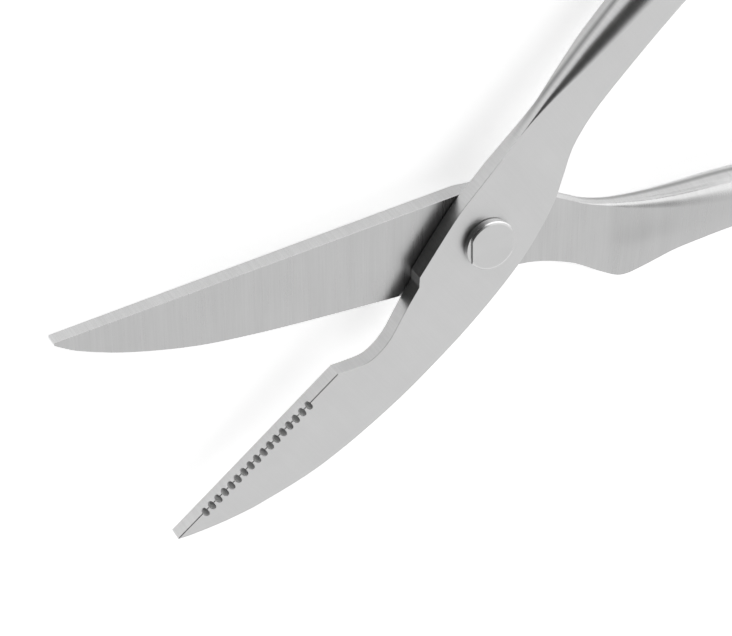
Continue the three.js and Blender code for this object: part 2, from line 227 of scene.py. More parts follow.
def cut(piece, cutters):
    """Takes the cutters out of the piece and removes them."""
    group = bpy.data.collections.new("cutters")
    bpy.context.scene.collection.children.link(group)
    for cutter in cutters:
        bpy.context.scene.collection.objects.unlink(cutter)
        group.objects.link(cutter)
    boolean = piece.modifiers.new("cut", "BOOLEAN")
    boolean.operation = "DIFFERENCE"
    boolean.solver = "EXACT"
    boolean.operand_type = "COLLECTION"
    boolean.collection = group
    apply_modifiers(piece)
    for cutter in cutters:
        bpy.data.objects.remove(cutter)
    bpy.data.collections.remove(group)
    drop_slivers(piece)


def drop_slivers(piece):
    """Merges points that a cut left on top of each other, with the empty faces between them."""
    touching, empty = 0.002, 0.001
    bm = bmesh.new()
    bm.from_mesh(piece.data)
    bmesh.ops.remove_doubles(bm, verts=bm.verts, dist=touching * MM)
    bmesh.ops.dissolve_degenerate(bm, edges=bm.edges, dist=empty * MM)
    bm.to_mesh(piece.data)
    bm.free()


def apply_modifiers(piece):
    graph = bpy.context.evaluated_depsgraph_get()
    mesh = bpy.data.meshes.new_from_object(piece.evaluated_get(graph))
    piece.modifiers.clear()
    piece.data = mesh


def smooth(piece, degrees=30):
    """Smooth shading, broken where two faces meet at more than this angle."""
    limit = math.radians(degrees)
    bm = bmesh.new()
    bm.from_mesh(piece.data)
    for face in bm.faces:
        face.smooth = True
    for edge in bm.edges:
        edge.smooth = len(edge.link_faces) == 2 and edge.calc_face_angle(0) < limit
    bm.to_mesh(piece.data)
    bm.free()


def paint(piece, *materials):
    for material in materials:
        piece.data.materials.append(material)


def round_edges(piece, width):
    bevel = piece.modifiers.new("round", "BEVEL")
    bevel.width = width * MM
    bevel.segments = 3
    bevel.limit_method = "ANGLE"
    bevel.angle_limit = math.radians(40)
    apply_modifiers(piece)


# ---- Arms ----

CORNER_STEPS = 14
FACE_STEPS = 16
HOLD = 0.08                    # rows this close to a rounded corner keep the flats beside it flat
WIDTH_SHARE = 0.45             # the most of a section's width that one corner may take
HEIGHT_SHARE = 0.96            # the most of its height that two corners may take
SEAM_PLACE = 0.7               # where a groove runs, from 0 at the face to 1 at the side
SEAM_WIDTH = 0.08


def rounded_corner(corner, along_face, along_side, face, side, bulge, seam, hold):
    """One corner of a section, from the face to the side. bulge 1 is round and 0 a straight bevel.

    seam is the depth of a fine groove that runs along the rounding.
    """
    start = corner + along_face * face
    end = corner + along_side * side
    control = corner * bulge + (start + end) / 2 * (1 - bulge)
    inward = (along_face + along_side).normalized()
    curve = []
    for step in range(CORNER_STEPS + 1):
        t = step / CORNER_STEPS
        groove = inward * seam * math.exp(-((t - SEAM_PLACE) / SEAM_WIDTH)**2)
        curve.append(start * (1 - t)**2 + control * 2 * t * (1 - t) + end * t**2 + groove)
    return [start + along_face * hold, *curve, end + along_side * hold]


def section(x, y_low, y_high, z_low, z_high, cuts):
    """One cross-section of an arm. cuts holds, for the four corners in turn, (face, side, bulge, seam)."""
    left, right = Vector((0, -1, 0)), Vector((0, 1, 0))
    down, up = Vector((0, 0, -1)), Vector((0, 0, 1))
    corners = [
        (Vector((x, y_high, z_high)), left, down),
        (Vector((x, y_low, z_high)), right, down),
        (Vector((x, y_low, z_low)), right, up),
        (Vector((x, y_high, z_low)), left, up),
    ]
    width, height = y_high - y_low, z_high - z_low
    ring = []
    for index, (corner, along_face, along_side) in enumerate(corners):
        face, side, bulge, seam = cuts[index]
        opposite = cuts[3 - index][1]
        shrink = min(1, WIDTH_SHARE * width / (face + HOLD),
                     HEIGHT_SHARE * height / (side + opposite + 2 * HOLD))
        points = rounded_corner(corner, along_face, along_side, face * shrink, side * shrink, bulge, seam,
                                HOLD * shrink)
        if index % 2 == 0:
            points.reverse()
        else:
            start, end = ring[-1], points[0]
            ring.extend(start.lerp(end, i / FACE_STEPS) for i in range(1, FACE_STEPS))
        ring.extend(points)
    return ring


def stations(start, end, tracks, step=0.7):
    """Places along an arm: evenly spaced, and tight on each side of a corner in its outline."""
    clear, close = 0.3, 0.12
    count = int((end - start) / step)
    places = {round(start + (end - start) * i / count, 3) for i in range(count + 1)}
    for track in tracks:
        for corner in track.corners():
            if start < corner < end:
                places = {p for p in places if abs(p - corner) > clear}
                places.update((corner - close, corner, corner + close))
    return sorted(places)


# Front arm: its back edge with the thumb handle's inner edge, then the serrated edge, the bone notch,
# the nick and the thumb handle's outer edge, then the two faces.
FRONT_TIP = -102.7
NOTCH_X = -47.5
FRONT_END = 138.5
FRONT_LOW = Track([
    (FRONT_TIP, 0.7), (-100.1, -1.2), (-92, -5.8), (-83.6, -9.5), (-66.7, -14.4), (-45, -16.5),
    (-23.8, -15.9), (-6.9, -13.9), (6, -10.9), (18, -5.8), (24, -1.7), (30, 2.5), (38, 5.5), (50, 7.9),
    (70, 10.5), (92, 12.2), (112, 12.2), (126, 10.6), (133, 10.6), (137, 12.2), (FRONT_END, 14.6)])
FRONT_HIGH = Track(
    [(FRONT_TIP, 0.7), (NOTCH_X, 3.1)],
    [(NOTCH_X, 3.1), (-44, 0.9), (-40.5, -1.0), (-36.6, -1.3), (-32.6, -0.5), (-25.2, 2.6), (-19.2, 4.9)],
    [(-19.2, 4.9), (-17.5, 7.0)],
    [(-17.5, 7.0), (-5, 11.1), (1, 12.8), (8, 14.05), (18, 15.9), (24, 17.05), (33, 18.85), (42, 20.2),
     (50, 21.4), (70, 23.8), (92, 25.4), (112, 25.2), (126, 23.6), (133, 22.2), (137, 20.6),
     (FRONT_END, 18.6)])
FRONT_TOP = Track([(FRONT_TIP, 4.2), (-20, 4.6)],
                  [(-20, 4.6), (24, 4.6), (38, 4.9), (50, 5.3), (70, 6.2), (92, 7.0), (112, 6.9), (126, 6.5),
                   (133, 6.0), (137, 4.6), (FRONT_END, 2.4)])
FRONT_BACK = Track([(FRONT_TIP, 0.15), (27, 0.15)],
                   [(27, 0.15), (31, 0.0), (38, -1.5), (50, -4.0), (70, -6.2), (92, -7.0), (112, -6.9),
                    (126, -6.5), (133, -6.0), (137, -4.6), (FRONT_END, -2.4)])

PLAIN_CUT = 0.05               # the smallest bevel on a corner of either arm
HONED_CUT = 0.16               # the bevel on the front corner of the serrated edge
WORN_CUT = 0.1                 # the same on its back corner
HANDLE_FROM = 12               # where an arm's corners start to round into its handle
SHOULDER_BULGE = 0.85          # how full the rounding is on the broad front shoulder of each handle
THUMB_BULGE = 0.8              # on the thumb handle's front inner corner
FINGER_BULGE = 0.6             # on the finger handle's front outer corner
UNDER_SLANT = 0.8              # the thumb handle's outer back corner, along the face for one down the side


def rounding(*knots):
    return Track([(HANDLE_FROM, PLAIN_CUT), *knots])


# How far each corner of the thumb handle's section is rounded, along its face and down its side.
THUMB_OUTER_FACE = rounding(
    (24, 0.1), (33, 1.2), (42, 2.5), (50, 3.5), (70, 4.5), (92, 4.8), (112, 4.6), (126, 4.0),
    (FRONT_END, 1.9))
THUMB_OUTER_SIDE = rounding(
    (24, 0.4), (33, 1.9), (42, 3.4), (50, 4.4), (70, 5.4), (92, 5.6), (112, 5.0), (126, 4.6),
    (FRONT_END, 1.9))
THUMB_OUTER_BACK = rounding(
    (20, 1.2), (30, 2.5), (42, 3.5), (50, 4.5), (70, 6.4), (92, 7.2), (112, 7.0), (126, 5.6),
    (FRONT_END, 1.9))
THUMB_INNER_FACE = rounding(
    (30, 0.35), (38, 0.6), (50, 0.9), (70, 2.2), (92, 3.8), (112, 4.2), (126, 4.0), (FRONT_END, 1.9))
THUMB_SOFT = rounding(
    (20, 0.3), (30, 0.9), (38, 2.0), (50, 3.4), (70, 4.8), (92, 5.0), (112, 5.0), (126, 4.6),
    (FRONT_END, 1.9))


def front_section(x):
    plain = (PLAIN_CUT, PLAIN_CUT, 0, 0)
    if x > HANDLE_FROM:
        soft = THUMB_SOFT(x)
        under = THUMB_OUTER_BACK(x)
        cuts = ((THUMB_OUTER_FACE(x), THUMB_OUTER_SIDE(x), SHOULDER_BULGE, 0),
                (THUMB_INNER_FACE(x), soft, THUMB_BULGE, 0), (soft, soft, 1, 0),
                (under * UNDER_SLANT, under, 1, 0))
    elif x < NOTCH_X:
        cuts = ((HONED_CUT, HONED_CUT, 0, 0), plain, plain, (WORN_CUT, WORN_CUT, 0, 0))
    else:
        cuts = (plain, plain, plain, plain)
    return section(x, FRONT_LOW(x), FRONT_HIGH(x), FRONT_BACK(x), FRONT_TOP(x), cuts)


# Rear arm: its cutting edge with the finger handle's outer edge, then the spine and inner edge.
REAR_TIP = -107.9
REAR_END = 141.0
REAR_LOW = Track([
    (REAR_TIP, -0.6), (-102.6, -3.5), (-91, -7.4), (-74.1, -10.7), (-58.5, -11.8), (-43, -12.1),
    (-20, -12.1), (0, -12.1), (11.4, -12.1), (18, -13.1), (26, -15.8), (30, -17.9), (36, -21.7),
    (41, -23.7), (47, -21.7), (56, -17.9), (72, -14.8), (92, -15.6), (112, -17.2), (126, -19.6),
    (134, -22.4), (139, -22.2), (REAR_END, -19.6)])
REAR_HIGH = Track(
    [(REAR_TIP, 0.0), (-5, 12.1)],
    [(-5, 12.1), (3, 11.6), (11, 9.4), (18, 5.8), (26, 2.2), (30, 0.4), (36, -1.1), (42, -1.7), (48, -1.9),
     (56, -1.8), (72, -1.2), (92, -2.2), (112, -4.2), (126, -5.2), (134, -6.6), (139, -9.6),
     (REAR_END, -13.6)])
REAR_TOP = Track([(REAR_TIP, -0.15), (28, -0.15)],
                 [(28, -0.15), (36, 0.3), (42, 1.5), (48, 2.7), (56, 4.0), (72, 5.8), (92, 7.0), (112, 6.9),
                  (126, 6.5), (134, 6.1), (139, 4.8), (REAR_END, 2.4)])
REAR_BACK = Track([(REAR_TIP, -4.1), (-20, -4.6)],
                  [(-20, -4.6), (24, -4.6), (36, -4.9), (48, -5.4), (56, -5.8), (72, -6.4), (92, -7.0),
                   (112, -6.9), (126, -6.5), (134, -6.1), (139, -4.8), (REAR_END, -2.4)])
FINGER_INNER_FACE = rounding(
    (24, 0.15), (34, 0.6), (47, 2.6), (60, 4.2), (70, 5.1), (92, 5.2), (112, 4.6), (126, 4.2),
    (139, 3.8), (REAR_END, 1.9))
FINGER_INNER_SIDE = rounding(
    (24, 0.5), (34, 1.6), (47, 3.6), (60, 5.0), (70, 5.6), (92, 6.2), (112, 5.0), (126, 4.7),
    (139, 3.8), (REAR_END, 1.9))
FINGER_INNER_BACK = rounding(
    (20, 0.8), (30, 2.0), (42, 3.6), (56, 5.0), (72, 6.3), (92, 6.8), (112, 6.8), (126, 5.6),
    (139, 3.8), (REAR_END, 1.9))
FINGER_OUTER_FACE = rounding(
    (30, 0.3), (50, 0.7), (72, 1.0), (92, 3.8), (112, 4.2), (126, 4.2), (139, 3.8), (REAR_END, 1.9))
FINGER_SOFT = rounding(
    (20, 0.3), (30, 0.7), (36, 1.3), (42, 2.0), (48, 2.8), (56, 3.8), (72, 4.8), (92, 5.0), (112, 5.0),
    (126, 4.7), (134, 4.4), (139, 3.8), (REAR_END, 1.9))
GRIND_WIDTH = Track([(REAR_TIP, 6.5), (-26, 6.5)], [(-26, 6.5), (-18, 2.0), (-10, 0.3), (0, PLAIN_CUT)])
GRIND_SLANT = 0.55             # how far the grind climbs the edge for one along the face
SEAM_DEPTH = 0.14

# The dent in the finger handle's front face. Below the brim, the face falls away.
DENT_FROM = 28
SCOOP_DEPTH = 0.4
SCOOP_X, SCOOP_Y = 45, -8.0
SCOOP_LENGTH, SCOOP_WIDTH = 11, 6.5
BRIM = Track([(DENT_FROM, -9.0), (42, -14.0), (50, -13.1), (60, -12.5), (70, -10.5), (92, -9.0)])
BRIM_SLOPE = 0.06
BRIM_SOFTNESS = 1.2


def finger_dent(x, y):
    """How far the finger handle's front face sinks: a scoop behind the bump, and a brim that falls away."""
    scoop = SCOOP_DEPTH * math.exp(-((x - SCOOP_X) / SCOOP_LENGTH)**2 - ((y - SCOOP_Y) / SCOOP_WIDTH)**2)
    past = BRIM(x) - y
    fall = BRIM_SLOPE * (past + math.hypot(past, BRIM_SOFTNESS))
    return scoop + fall * ramp(x, DENT_FROM, 40) * (1 - ramp(x, 76, 96))


def rear_section(x):
    plain = (PLAIN_CUT, PLAIN_CUT, 0, 0)
    if x > HANDLE_FROM:
        soft = FINGER_SOFT(x)
        under = FINGER_INNER_BACK(x)
        seam = SEAM_DEPTH * ramp(x, 34, 50) * (1 - ramp(x, 84, 104))
        cuts = ((FINGER_INNER_FACE(x), FINGER_INNER_SIDE(x), SHOULDER_BULGE, seam),
                (FINGER_OUTER_FACE(x), soft, FINGER_BULGE, 0), (soft, soft, 1, 0),
                (under, under, 1, 0))
    else:
        grind = GRIND_WIDTH(x)
        cuts = (plain, plain, (grind, grind * GRIND_SLANT, 0, 0), plain)
    z_low, z_high = REAR_BACK(x), REAR_TOP(x)
    ring = section(x, REAR_LOW(x), REAR_HIGH(x), z_low, z_high, cuts)
    if x > DENT_FROM:
        for point in ring:
            share = (point.z - z_low) / (z_high - z_low)
            point.z -= finger_dent(x, point.y) * ramp(share, 0.4, 1)
    return ring


def scallop_cutters():
    """Seventeen oval holes, sunk at 45 degrees into the front corner of the serrated edge."""
    count, first, last, inset = 17, -93.4, -57.8, 0.25
    lean = Matrix.Rotation(math.radians(-45), 4, "X")
    oval = Matrix.Diagonal((0.80, 1.22, 1, 1))
    bowl = [(0, -1.3), (0.7, -1.25), (0.92, -1.05), (1, -0.6), (1, 2), (0, 2)]
    cutters = []
    for i in range(count):
        x = first + (last - first) * i / (count - 1)
        place = FRONT @ Matrix.Translation((x, FRONT_HIGH(x) - inset, FRONT_TOP(x))) @ lean @ oval
        cutter = turned("cutter", bowl, place, sides=28)
        # The holes' faces take HOLE_STEEL, a copy of the steel painted lighter to lift the shade in the
        # holes.
        paint(cutter, FRONT_STEEL, HOLE_STEEL)
        for face in cutter.data.polygons:
            face.material_index = 1
        cutters.append(cutter)
    return cutters


def on_circle(radius, angle):
    return radius * math.cos(angle), radius * math.sin(angle)


def stop_slot():
    """The curved slot that the stop pin runs in."""
    end = math.degrees(STOP_ANGLE)
    start = end - math.degrees(OPENING)
    half = STOP_PIN + GAP
    outline = [
        *arc((0, 0), STOP_RADIUS + half, start, end, 24),
        *arc(on_circle(STOP_RADIUS, STOP_ANGLE), half, end + 15, end + 165, 10),
        *arc((0, 0), STOP_RADIUS - half, end, start, 24),
        *arc(on_circle(STOP_RADIUS, STOP_ANGLE - OPENING), half, start + 195, start + 345, 10),
    ]
    return prism("cutter", outline, -THROUGH, STOP_DEPTH + GAP, FRONT)


def hook_recess():
    """The recess that the lock hook folds into, open along the thumb handle's inner edge."""
    half = HOOK_HALF + WASHER_THICKNESS + 2 * GAP
    margin = HOOK_EYE + HOOK_ROOM
    x, y = HOOK_PIVOT
    far = x - HOOK_REACH - HOOK_NOSE - HOOK_ROOM
    outline = [(x + margin, 0), *arc(HOOK_PIVOT, margin, 0, 90), (far, y + margin), (far, 0)]
    return prism("cutter", outline, -half, half, FRONT)


def catch_pocket():
    """The pocket in the finger handle that the hook's nose swings into."""
    half = HOOK_HALF + GAP
    x, y = HOOK_PIVOT
    reach = HOOK_REACH + HOOK_NOSE + 2 * GAP
    far = x + HOOK_EYE + HOOK_ROOM
    entry = 180 + math.degrees(math.asin(y / reach))
    outline = [(far, 0), *arc(HOOK_PIVOT, reach, entry, 270), (far, y - reach)]
    return prism("cutter", outline, -half, half, REAR)


def make_front_arm():
    places = stations(FRONT_TIP + 0.15, FRONT_END, (FRONT_HIGH, FRONT_TOP))
    arm = skin("serrated_arm", [front_section(x) for x in places], FRONT)
    paint(arm, FRONT_STEEL, HOLE_STEEL)
    tang = on_circle(SPRING_RADIUS, TANG_ANGLE)
    cut(arm, [
        *scallop_cutters(),
        upright(BARREL_RADIUS + PLAY, -THROUGH, BEYOND, FRONT),
        upright(CHAMBER_RADIUS, -THROUGH, CHAMBER_DEPTH, FRONT, sides=96),
        upright(SPRING_WIRE + GAP, 0, CHAMBER_DEPTH + SPRING_TANG, FRONT, tang),
        stop_slot(),
        hook_recess(),
        upright(PIN_RADIUS + PLAY, -BEYOND, BEYOND, FRONT, HOOK_PIVOT),
    ])
    smooth(arm, degrees=24)
    return arm


def make_rear_arm():
    places = stations(REAR_TIP + 0.15, REAR_END, (REAR_HIGH, REAR_TOP))
    arm = skin("cutting_arm", [rear_section(x) for x in places], REAR)
    tang = on_circle(SPRING_RADIUS, TANG_ANGLE - math.pi)
    cut(arm, [
        upright(BARREL_RADIUS + PLAY, -BEYOND, THROUGH, REAR),
        upright(CHAMBER_RADIUS, -CHAMBER_DEPTH, THROUGH, REAR, sides=96),
        upright(SPRING_WIRE + GAP, -CHAMBER_DEPTH - SPRING_TANG, 0, REAR, tang),
        upright(STOP_PIN + PLAY, -STOP_DEPTH - GAP, THROUGH, REAR, on_circle(STOP_RADIUS, STOP_ANGLE)),
        catch_pocket(),
        upright(PIN_RADIUS + PLAY, -BEYOND, BEYOND, REAR, CATCH),
    ])
    smooth(arm, degrees=24)
    return arm


# ---- Pivot ----

def make_screw():
    """The pivot screw: a round head with two shallow wrench flats and a bright chamfer."""
    low = PLATE + PLAY
    shank_end = NUT_FACE + NUT_THICKNESS
    rim = [(HEAD_RADIUS - inset, HEAD_TOP - drop) for inset, drop in ((0.6, 0), (0.24, 0.14), (0, 0.42))]
    edge, point = 0.1, 0.2
    screw = turned("pivot_screw_turned", [
        (0, HEAD_TOP), *rim, (HEAD_RADIUS, low + edge), (HEAD_RADIUS - edge, low), (SCREW_RADIUS, low),
        (SCREW_RADIUS, shank_end + point), (SCREW_RADIUS - point, shank_end), (0, shank_end)], PIVOT)
    flats = []
    for side in (-1, 1):
        near, far, end = side * HEAD_FLATS / 2, side * (HEAD_RADIUS + THROUGH), HEAD_RADIUS + THROUGH
        outline = [(near, -end), (far, -end), (far, end), (near, end)]
        flats.append(prism("cutter", outline, HEAD_TOP - HEAD_STEP, HEAD_TOP + THROUGH, PIVOT))
    cut(screw, flats)
    smooth(screw, degrees=15)
    return screw


def make_nut():
    """The nut: a chamfered flange with two spanner holes, on a barrel that both arms turn on."""
    flange = NUT_FACE + NUT_THICKNESS
    top = PLATE - GAP
    bore = SCREW_RADIUS + PLAY
    chamfer, edge, lip = 0.5, 0.15, 0.2
    nut = turned("pivot_nut_turned", [
        (0, NUT_FACE), (NUT_RADIUS - chamfer, NUT_FACE), (NUT_RADIUS, NUT_FACE + chamfer),
        (NUT_RADIUS, flange - edge), (NUT_RADIUS - edge, flange), (BARREL_RADIUS, flange),
        (BARREL_RADIUS, top - lip), (BARREL_RADIUS - lip, top), (bore, top), (bore, flange - GAP),
        (0, flange - GAP)], PIVOT)
    cut(nut, [
        upright(SPANNER_HOLE, NUT_FACE - THROUGH, NUT_FACE + SPANNER_DEPTH, PIVOT,
                (side * SPANNER_OFFSET, 0), sides=24)
        for side in (-1, 1)])
    smooth(nut)
    return nut


def spring_path():
    """The wire's angle and height: a tang in the front arm, the coils, and a tang in the rear arm.

    The two bends where the coils meet the tangs are smoothed.
    """
    sweep = 2 * math.pi * SPRING_TURNS - OPENING - math.pi
    top = SPRING_HEIGHT / 2
    tang_steps, coil_steps = 6, 150
    path = [(0, top + SPRING_TANG * (1 - i / tang_steps)) for i in range(tang_steps)]
    path += [(sweep * i / coil_steps, top - SPRING_HEIGHT * i / coil_steps) for i in range(coil_steps + 1)]
    path += [(sweep, -top - SPRING_TANG * (i + 1) / tang_steps) for i in range(tang_steps)]
    for _ in range(2):
        threes = zip(path, path[1:], path[2:])
        middle = [tuple((a + 2 * b + c) / 4 for a, b, c in zip(*three)) for three in threes]
        path = [path[0], *middle, path[-1]]
    return path


def make_spring():
    """The torsion spring, coiled between the two arms."""
    wire = [Vector((*on_circle(SPRING_RADIUS, TANG_ANGLE + angle), height))
            for angle, height in spring_path()]
    circle = arc((0, 0), SPRING_WIRE, 0, 345, steps=23)
    rings = []
    for i, centre in enumerate(wire):
        along = (wire[min(i + 1, len(wire) - 1)] - wire[max(i - 1, 0)]).normalized()
        outward = Vector((centre.x, centre.y, 0)).normalized()
        across = along.cross(outward).normalized()
        outward = across.cross(along)
        rings.append([centre + outward * out + across * aside for out, aside in circle])
    spring = skin("torsion_spring_wound", rings, FRONT)
    smooth(spring, degrees=40)
    return spring


# ---- Lock ----

def make_pin(name, place, centre):
    """A riveted pin with slightly domed ends."""
    drops = ((0, 0), (0.7, 0.05), (1.15, 0.2), (PIN_RADIUS, 0.5))
    dome = [(radius, PIN_HALF - drop) for radius, drop in drops]
    profile = dome + [(radius, -height) for radius, height in reversed(dome)]
    pin = turned(name, profile, place @ Matrix.Translation((*centre, 0)), sides=32)
    smooth(pin)
    return pin


def make_hook():
    """The lock hook, folded: an eye on its pin, a bar, and a nose with a round mouth."""
    tip = -HOOK_REACH - HOOK_NOSE
    fall = 2 * HOOK_BAR - HOOK_CORNER
    curl = [(-HOOK_REACH - HOOK_NOSE * math.sin(a), HOOK_BAR - fall * (1 - math.cos(a)))
            for a in (math.pi / 2 * i / 8 for i in range(9))]
    outline = [
        *arc((0, 0), HOOK_EYE, -90, 90, 16), *curl, (tip + HOOK_CORNER, -HOOK_BAR),
        (-HOOK_REACH - HOOK_MOUTH, -HOOK_BAR), *arc((-HOOK_REACH, 0), HOOK_MOUTH, 180, 0, 12),
        (-HOOK_REACH + HOOK_MOUTH, -HOOK_BAR), (-HOOK_SHOULDER, -HOOK_BAR),
    ]
    place = FRONT @ Matrix.Translation((*HOOK_PIVOT, 0))
    hook = prism("lock_hook_forged", outline, -HOOK_HALF, HOOK_HALF, place)
    cut(hook, [upright(PIN_RADIUS + PLAY, -BEYOND, BEYOND, place)])
    round_edges(hook, 0.3)
    smooth(hook)
    return hook


def make_washer(name, side):
    inner, outer = PIN_RADIUS + PLAY, WASHER_RADIUS
    half = WASHER_THICKNESS / 2
    edge = 0.1
    profile = [(inner, -half), (outer - edge, -half), (outer, -half + edge), (outer, half - edge),
               (outer - edge, half), (inner, half)]
    height = side * (HOOK_HALF + GAP + half)
    washer = turned(name, profile, FRONT @ Matrix.Translation((*HOOK_PIVOT, height)), sides=48)
    smooth(washer)
    return washer


# ---- Materials ----

def linear(value):
    """A shade of the picture, 0 to 255, as linear light."""
    return (value / 255) ** 2.2


class Shader:
    """A small helper round one material's node tree."""

    def __init__(self, name):
        self.material = bpy.data.materials.new(name)
        self.material.use_nodes = True
        self.nodes = self.material.node_tree.nodes
        self.links = self.material.node_tree.links
        self.bsdf = self.nodes["Principled BSDF"]

    def add(self, kind, **settings):
        node = self.nodes.new(kind)
        for key, value in settings.items():
            setattr(node, key, value)
        return node

    def noise(self, vector, scale, detail=3.0):
        """Noise from 0 to 1 with the vector stretched by scale, in features a metre."""
        mapping = self.add("ShaderNodeMapping")
        mapping.inputs["Scale"].default_value = scale
        self.links.new(vector, mapping.inputs["Vector"])
        noise = self.add("ShaderNodeTexNoise")
        noise.inputs["Scale"].default_value = 1
        noise.inputs["Detail"].default_value = detail
        self.links.new(mapping.outputs["Vector"], noise.inputs["Vector"])
        return noise.outputs["Fac"]

    def spread(self, value, low, high, start=0.3, end=0.7):
        node = self.add("ShaderNodeMapRange")
        for key, number in (("From Min", start), ("From Max", end), ("To Min", low), ("To Max", high)):
            node.inputs[key].default_value = number
        self.links.new(value, node.inputs["Value"])
        return node.outputs["Result"]

    def math(self, operation, a, b):
        node = self.add("ShaderNodeMath", operation=operation)
        for socket, value in zip(node.inputs, (a, b)):
            if isinstance(value, float):
                socket.default_value = value
            else:
                self.links.new(value, socket)
        return node.outputs["Value"]


# The place along the arm where the height of the painted shadow line is given.
SHADOW_LINE_FROM = 30


def reflected_shadow_line(shader, along, level, dark, height, climb):
    """Dims a soft line along the side of a handle, and is 1 elsewhere: painted shade, a dark line that
    stands for the table's shadow reflected in the handle's side.
    """
    place = shader.add("ShaderNodeSeparateXYZ")
    shader.links.new(along, place.inputs["Vector"])
    start = (JOINT_PLANE + height - climb * SHADOW_LINE_FROM) * MM
    line = shader.math("ADD", shader.math("MULTIPLY", place.outputs["X"], float(climb)), start)
    off = shader.math("ABSOLUTE", shader.math("SUBTRACT", place.outputs["Z"], line), 0.0)
    near = shader.spread(off, 1.0, 0.0, 0.2 * MM, 1.3 * MM)
    near = shader.math("MULTIPLY", near, shader.spread(place.outputs["X"], 0.0, 1.0, 18 * MM, 34 * MM))
    near = shader.math("MULTIPLY", near, shader.spread(level, 1.0, 0.0, 0.3, 0.6))
    return shader.spread(near, 1.0, 1 - dark, 0.0, 1.0)


def brushed(name, shade, rough, turn=0.0, fine=2600.0, length=70.0, contrast=1.0, polish=0.0,
            painted_side_light=0.0, reflected_shadow=None, metal=1.0, tint=(1, 1, 1)):
    """Brushed steel. The brush marks run square to the arm's length, and worn edges shine.

    polish is how much smoother the sides and rounded parts are than the flat faces. gleam is painted light:
    how much lighter the sides' colour is painted than the faces', darker where it is below 0. parting is a
    painted dark line along a handle's sides that stands for the table's shadow reflected there: how dark it
    is, its height above the joint plane at SHADOW_LINE_FROM, and how fast it climbs along the arm.
    """
    shader = Shader(name)
    place = shader.add("ShaderNodeTexCoord")
    aligned = shader.add("ShaderNodeMapping")
    aligned.inputs["Rotation"].default_value = (0, 0, -turn)
    shader.links.new(place.outputs["Object"], aligned.inputs["Vector"])
    along = aligned.outputs["Vector"]
    hair = shader.noise(along, (fine, length, length), 4.0)
    band = shader.noise(along, (fine / 7, length / 2, length / 2), 2.0)
    cloud = shader.noise(along, (90, 90, 90), 3.0)
    surface = shader.add("ShaderNodeNewGeometry")
    edge = surface.outputs["Pointiness"]
    facing = shader.add("ShaderNodeSeparateXYZ")
    shader.links.new(surface.outputs["Normal"], facing.inputs["Vector"])
    level = shader.math("ABSOLUTE", facing.outputs["Z"], 0.0)
    side = shader.spread(level, polish, 0.0, 0.75, 0.97)

    marks = shader.math("ADD", shader.spread(hair, -0.05, 0.05), shader.spread(band, -0.03, 0.03))
    marks = shader.math("MULTIPLY", marks, shader.spread(level, max(contrast, 0.8), contrast, 0.75, 0.97))
    tone = shader.math("ADD", marks, 1.0)
    tone = shader.math("MULTIPLY", tone, shader.spread(cloud, 0.98, 1.02))
    tone = shader.math("MULTIPLY", tone, shader.spread(edge, 1.0, 1.06, 0.53, 0.60))
    # Painted light: the sides' colour is lighter than the faces' by gleam, darker where gleam is below 0.
    tone = shader.math("MULTIPLY", tone, shader.spread(level, 1 + painted_side_light, 1.0, 0.75, 0.97))
    # Painted shade: a dark line along a handle's side that stands for the table's shadow reflected there.
    if reflected_shadow:
        tone = shader.math("MULTIPLY", tone, reflected_shadow_line(shader, along, level, *reflected_shadow))
    tone = shader.math("MULTIPLY", tone, float(linear(shade)))
    colour = shader.add("ShaderNodeCombineColor")
    for channel, factor in zip(("Red", "Green", "Blue"), tint):
        shader.links.new(shader.math("MULTIPLY", tone, float(factor)), colour.inputs[channel])
    shader.links.new(colour.outputs["Color"], shader.bsdf.inputs["Base Color"])

    spread = 0.05 * contrast
    roughness = shader.math("ADD", shader.spread(hair, rough - spread, rough + spread),
                            shader.spread(cloud, -0.015, 0.015))
    roughness = shader.math("SUBTRACT", roughness, side)
    shader.links.new(roughness, shader.bsdf.inputs["Roughness"])
    shader.bsdf.inputs["Metallic"].default_value = metal
    bump = shader.add("ShaderNodeBump")
    bump.inputs["Strength"].default_value = 0.25 * contrast
    bump.inputs["Distance"].default_value = 0.00002
    shader.links.new(hair, bump.inputs["Height"])
    shader.links.new(bump.outputs["Normal"], shader.bsdf.inputs["Normal"])
    return shader.material


def table_paper():
    """A matt white sheet, lit a little from below as on a light table."""
    shader = Shader("pale_table")
    place = shader.add("ShaderNodeTexCoord")
    grain = shader.noise(place.outputs["Object"], (900, 900, 900), 4.0)
    shader.links.new(shader.spread(grain, 0.88, 0.94), shader.bsdf.inputs["Roughness"])
    shader.bsdf.inputs["Base Color"].default_value = (0.95, 0.95, 0.95, 1)
    shader.bsdf.inputs["Emission Color"].default_value = (1, 1, 1, 1)
    shader.bsdf.inputs["Emission Strength"].default_value = 0.54
    return shader.material


# ---- Camera, light and table ----

VIEW_BACK = Vector((-0.1767, 0.6373, 0.7501)).normalized()
VIEW_RIGHT = Vector((0.8502, -0.2851, 0.4425))
VIEW_AIM = Vector((-33.54, -5.21, JOINT_PLANE)) * MM
VIEW_DISTANCE = 0.5974         # metres
LENS = 123.3


def make_camera():
    data = bpy.data.cameras.new("camera")
    data.lens = LENS
    data.sensor_width = 36
    camera = bpy.data.objects.new("camera", data)
    bpy.context.scene.collection.objects.link(camera)
    right = (VIEW_RIGHT - VIEW_RIGHT.dot(VIEW_BACK) * VIEW_BACK).normalized()
    up = VIEW_BACK.cross(right)
    turn = Matrix((right, up, VIEW_BACK)).transposed().to_4x4()
    camera.matrix_world = Matrix.Translation(VIEW_AIM + VIEW_BACK * VIEW_DISTANCE) @ turn
    bpy.context.scene.camera = camera


def heading(azimuth, elevation):
    a, e = math.radians(azimuth), math.radians(elevation)
    return Vector((math.cos(e) * math.cos(a), math.cos(e) * math.sin(a), math.sin(e)))


